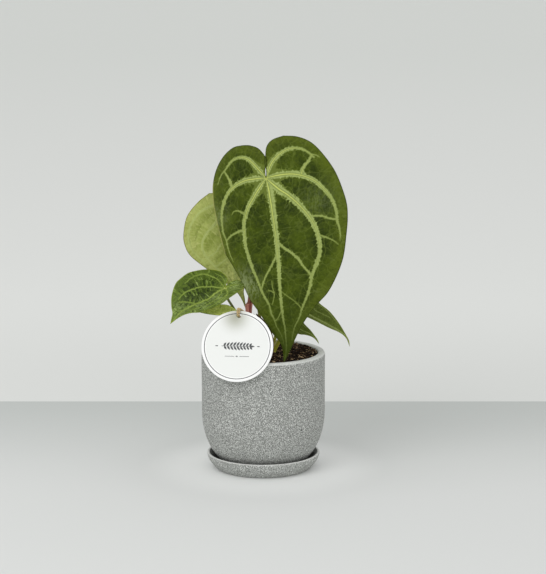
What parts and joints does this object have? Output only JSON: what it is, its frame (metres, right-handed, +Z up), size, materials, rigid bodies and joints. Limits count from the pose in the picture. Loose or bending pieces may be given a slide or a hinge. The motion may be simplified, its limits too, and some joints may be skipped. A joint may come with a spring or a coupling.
{
  "type": "potted anthurium",
  "caption": "Young anthurium with heart-shaped, pale-veined leaves in a speckled grey stoneware pot on its saucer, with a blank round card tag on twine.",
  "frame": {"origin": "centre of the saucer's underside, on the surface the pot stands on", "axes": "+Z up along the pot's axis, -Y towards the plant's front, +X to the right seen from the front"},
  "size_m": [0.1802, 0.1306, 0.3386],
  "materials": {
    "glaze_grey": "matte speckled glaze",
    "soil_brown": "loose bark and peat mix",
    "stem_green": "satin",
    "stem_red": "satin",
    "blade_green": "satin, with pale veins",
    "blade_pale": "matte",
    "bract_brown": "dry and matte",
    "card_white": "matte card",
    "twine_tan": "twisted jute"
  },
  "bodies": {
    "root": {"saucer": "glaze_grey", "pot": "glaze_grey", "soil": "soil_brown", "stem_base": "stem_green", "petiole_main": "stem_red", "petiole_back": "stem_green", "petiole_left": "stem_green", "petiole_low_left": "stem_green", "petiole_right_upper": "stem_green", "petiole_right_lower": "stem_green", "leaf_main": "blade_green", "leaf_back": "blade_pale", "leaf_left": "blade_green", "leaf_low_left": "blade_green", "leaf_right_upper": "blade_green", "leaf_right_lower": "blade_green", "cataphyll_red": "stem_red", "cataphyll_brown": "bract_brown", "tag": "card_white", "tag_twine": "twine_tan"}
  },
  "joints": []
}
